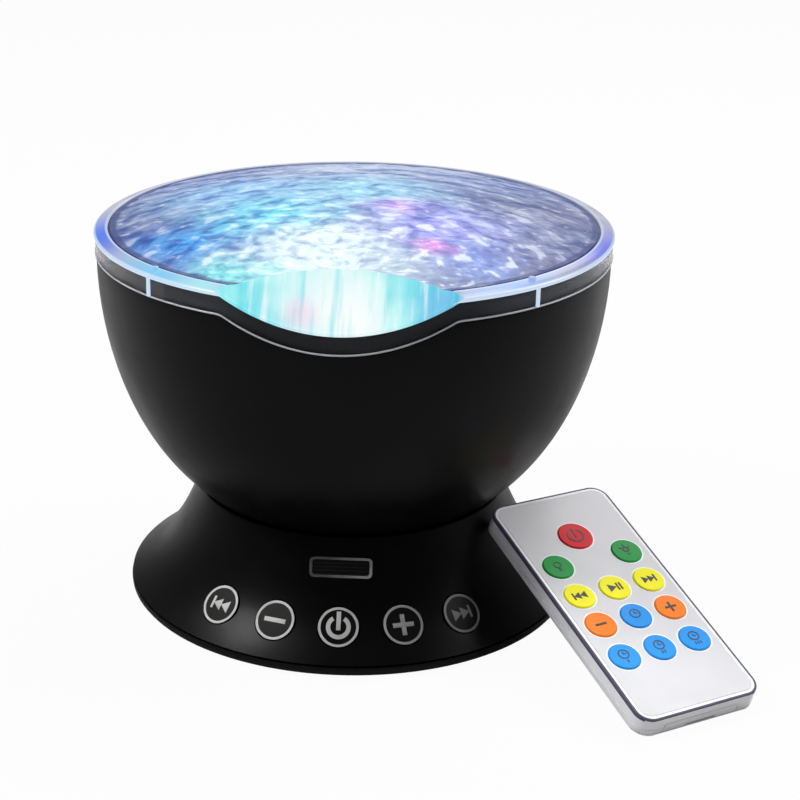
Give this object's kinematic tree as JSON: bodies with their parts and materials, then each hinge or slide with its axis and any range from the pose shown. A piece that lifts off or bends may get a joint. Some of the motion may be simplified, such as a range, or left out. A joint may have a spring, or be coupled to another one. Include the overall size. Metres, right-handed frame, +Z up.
{
  "type": "ocean wave projector",
  "caption": "Night light that throws moving water ripples: tilting bowl lamp with a clear rippled cover on a flared foot with push keys, and its card remote.",
  "frame": {"origin": "centre of the foot, on the table that its rubber feet stand on", "axes": "+Z up, -Y towards the foot's keys and the bowl's dipped lip, +X to the right of someone who faces the keys"},
  "size_m": [0.1904, 0.1687, 0.1212],
  "materials": {
    "black_plastic": "satin black ABS",
    "black_plate": "fine matt texture",
    "black_keys": "satin",
    "deck_black": "matt",
    "clear_cover": "clear moulded polystyrene",
    "clear_disc": "clear moulded, lensed",
    "ir_smoke": "smoked clear",
    "white_plastic": "moulded",
    "acetal": "natural acetal",
    "rubber": "matt",
    "steel": "zinc plated",
    "saddle_nylon": "nylon",
    "motor_can": "drawn can",
    "led_board_white": "white solder mask",
    "led_epoxy": "silicone lens",
    "board_green": "solder mask",
    "key_flex": "polyimide",
    "chip_black": "moulded",
    "socket_metal": "stamped shell",
    "socket_black": "moulded",
    "speaker_steel": "stamped",
    "speaker_paper": "paper cone",
    "magnet": "ferrite",
    "remote_white": "white ABS",
    "remote_grey": "light grey foil",
    "remote_green_board": "solder mask",
    "dome_steel": "snap dome",
    "ir_led": "tinted epoxy",
    "cell_steel": "nickel plated",
    "key_red": "rubber key",
    "key_green": "rubber key",
    "key_yellow": "rubber key",
    "key_orange": "rubber key",
    "key_blue": "rubber key"
  },
  "bodies": {
    "base": {"base_shell": "black_plastic", "base_plate": "black_plate", "rubber_feet": "rubber", "base_screws": "steel", "ir_window": "ir_smoke", "ir_receiver": "chip_black", "key_board": "key_flex", "key_switches": "chip_black", "main_board": "board_green", "board_chips": "chip_black", "usb_socket": "socket_metal", "aux_socket": "socket_black", "speaker_frame": "speaker_steel", "speaker_cone": "speaker_paper", "speaker_magnet": "magnet", "tilt_saddle": "saddle_nylon", "tilt_bolt": "steel", "tilt_nut": "steel", "friction_washers": "steel"},
    "bowl": {"bowl_shell": "black_plastic", "ripple_cover": "clear_cover", "lamp_deck": "deck_black", "deck_screws": "steel", "led_board": "led_board_white", "leds": "led_epoxy", "led_board_screws": "steel", "reflector_cup": "white_plastic", "gear_motor": "motor_can", "motor_screws": "steel", "disc_axle": "steel", "axle_clip": "steel"},
    "wave_disc": {"wave_disc": "clear_disc", "disc_gear": "acetal"},
    "motor_pinion": {"motor_pinion": "acetal"},
    "key_previous": {"key_previous": "black_keys"},
    "key_minus": {"key_minus": "black_keys"},
    "key_power": {"key_power": "black_keys"},
    "key_plus": {"key_plus": "black_keys"},
    "key_next": {"key_next": "black_keys"},
    "remote": {"remote_top_case": "remote_white", "remote_bottom_case": "remote_white", "remote_face": "remote_grey", "remote_board": "remote_green_board", "remote_domes": "dome_steel", "remote_ir_led": "ir_led"},
    "battery_drawer": {"battery_drawer": "remote_white", "button_cell": "cell_steel"},
    "remote_key_power": {"remote_key_power": "key_red"},
    "remote_key_lamp_a": {"remote_key_lamp_a": "key_green"},
    "remote_key_lamp_b": {"remote_key_lamp_b": "key_green"},
    "remote_key_previous": {"remote_key_previous": "key_yellow"},
    "remote_key_play": {"remote_key_play": "key_yellow"},
    "remote_key_next": {"remote_key_next": "key_yellow"},
    "remote_key_quieter": {"remote_key_quieter": "key_orange"},
    "remote_key_clock": {"remote_key_clock": "key_blue"},
    "remote_key_louder": {"remote_key_louder": "key_orange"},
    "remote_key_timer_1": {"remote_key_timer_1": "key_blue"},
    "remote_key_timer_2": {"remote_key_timer_2": "key_blue"},
    "remote_key_timer_3": {"remote_key_timer_3": "key_blue"}
  },
  "joints": [
    {"name": "bowl_tilt", "type": "hinge", "parent": "base", "child": "bowl", "pos_m": [0, 0, 0.09], "axis": [1, 0, 0], "range_deg": [0, 34]},
    {"name": "wave_spin", "type": "hinge", "parent": "bowl", "child": "wave_disc", "pos_m": [0, 0, 0.095], "axis": [0, 0, 1], "continuous": true},
    {"name": "pinion_spin", "type": "hinge", "parent": "bowl", "child": "motor_pinion", "pos_m": [0, 0.0192, 0.093], "axis": [0, 0, 1], "continuous": true},
    {"name": "key_previous_press", "type": "slide", "parent": "base", "child": "key_previous", "axis": [0.4346, 0.5981, -0.6733], "range_m": [0, 0.0008], "stiffness_N_per_m": 1800},
    {"name": "key_minus_press", "type": "slide", "parent": "base", "child": "key_minus", "axis": [0.2285, 0.7032, -0.6733], "range_m": [0, 0.0008], "stiffness_N_per_m": 1800},
    {"name": "key_power_press", "type": "slide", "parent": "base", "child": "key_power", "axis": [0, 0.7393, -0.6733], "range_m": [0, 0.0008], "stiffness_N_per_m": 1800},
    {"name": "key_plus_press", "type": "slide", "parent": "base", "child": "key_plus", "axis": [-0.2285, 0.7032, -0.6733], "range_m": [0, 0.0008], "stiffness_N_per_m": 1800},
    {"name": "key_next_press", "type": "slide", "parent": "base", "child": "key_next", "axis": [-0.4346, 0.5981, -0.6733], "range_m": [0, 0.0008], "stiffness_N_per_m": 1800},
    {"name": "remote_lift", "type": "slide", "parent": "base", "child": "remote", "axis": [0.6184, -0.3428, 0.7071], "range_m": [0, 0.06]},
    {"name": "battery_drawer_slide", "type": "slide", "parent": "remote", "child": "battery_drawer", "axis": [0.484, -0.8055, -0.342], "range_m": [0, 0.03]},
    {"name": "remote_key_power_press", "type": "slide", "parent": "remote", "child": "remote_key_power", "axis": [-0.1762, 0.2932, -0.9397], "range_m": [0, 0.0003], "stiffness_N_per_m": 3000, "deforming": ["remote_domes"]},
    {"name": "remote_key_lamp_a_press", "type": "slide", "parent": "remote", "child": "remote_key_lamp_a", "axis": [-0.1762, 0.2932, -0.9397], "range_m": [0, 0.0003], "stiffness_N_per_m": 3000},
    {"name": "remote_key_lamp_b_press", "type": "slide", "parent": "remote", "child": "remote_key_lamp_b", "axis": [-0.1762, 0.2932, -0.9397], "range_m": [0, 0.0003], "stiffness_N_per_m": 3000},
    {"name": "remote_key_previous_press", "type": "slide", "parent": "remote", "child": "remote_key_previous", "axis": [-0.1762, 0.2932, -0.9397], "range_m": [0, 0.0003], "stiffness_N_per_m": 3000},
    {"name": "remote_key_play_press", "type": "slide", "parent": "remote", "child": "remote_key_play", "axis": [-0.1762, 0.2932, -0.9397], "range_m": [0, 0.0003], "stiffness_N_per_m": 3000},
    {"name": "remote_key_next_press", "type": "slide", "parent": "remote", "child": "remote_key_next", "axis": [-0.1762, 0.2932, -0.9397], "range_m": [0, 0.0003], "stiffness_N_per_m": 3000},
    {"name": "remote_key_quieter_press", "type": "slide", "parent": "remote", "child": "remote_key_quieter", "axis": [-0.1762, 0.2932, -0.9397], "range_m": [0, 0.0003], "stiffness_N_per_m": 3000},
    {"name": "remote_key_clock_press", "type": "slide", "parent": "remote", "child": "remote_key_clock", "axis": [-0.1762, 0.2932, -0.9397], "range_m": [0, 0.0003], "stiffness_N_per_m": 3000},
    {"name": "remote_key_louder_press", "type": "slide", "parent": "remote", "child": "remote_key_louder", "axis": [-0.1762, 0.2932, -0.9397], "range_m": [0, 0.0003], "stiffness_N_per_m": 3000},
    {"name": "remote_key_timer_1_press", "type": "slide", "parent": "remote", "child": "remote_key_timer_1", "axis": [-0.1762, 0.2932, -0.9397], "range_m": [0, 0.0003], "stiffness_N_per_m": 3000},
    {"name": "remote_key_timer_2_press", "type": "slide", "parent": "remote", "child": "remote_key_timer_2", "axis": [-0.1762, 0.2932, -0.9397], "range_m": [0, 0.0003], "stiffness_N_per_m": 3000},
    {"name": "remote_key_timer_3_press", "type": "slide", "parent": "remote", "child": "remote_key_timer_3", "axis": [-0.1762, 0.2932, -0.9397], "range_m": [0, 0.0003], "stiffness_N_per_m": 3000}
  ],
  "couplings": [
    {"joint": "pinion_spin", "follows": "wave_spin", "ratio": -3}
  ]
}
